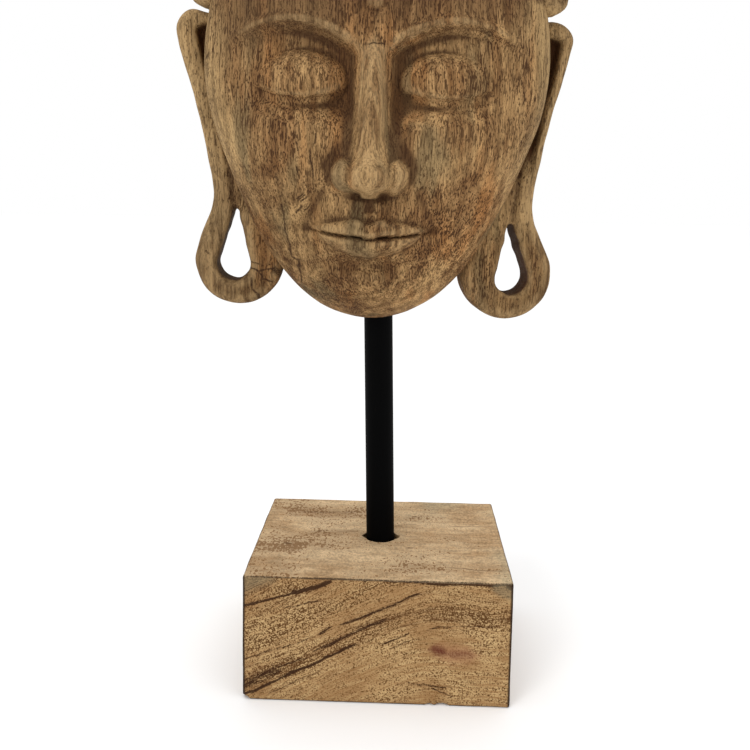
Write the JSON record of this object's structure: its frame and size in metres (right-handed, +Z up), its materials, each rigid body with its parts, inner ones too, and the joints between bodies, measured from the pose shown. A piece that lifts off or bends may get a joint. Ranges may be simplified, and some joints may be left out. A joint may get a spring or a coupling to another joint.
{
  "type": "carved wooden mask on a rod stand",
  "caption": "Carved wooden head mask with closed eyes, curled hair and long pierced ear lobes, hollow behind, held up by a black steel rod in a plain wooden block.",
  "frame": {"origin": "middle of the block's flat underside", "axes": "+Z up, the face looks along -Y, +X towards the viewer's right"},
  "size_m": [0.2156, 0.1287, 0.479],
  "materials": {
    "mask_wood": "carved open-grained hardwood, brown, dark stain in the recesses, worn pale on the edges, matt",
    "black_coating": "black powder coating, low sheen",
    "block_wood": "pale yellow-brown wood with dark flecks and bands, edges darkened, matt"
  },
  "bodies": {
    "root": {"mask": "mask_wood", "rod": "black_coating", "block": "block_wood"}
  },
  "joints": []
}
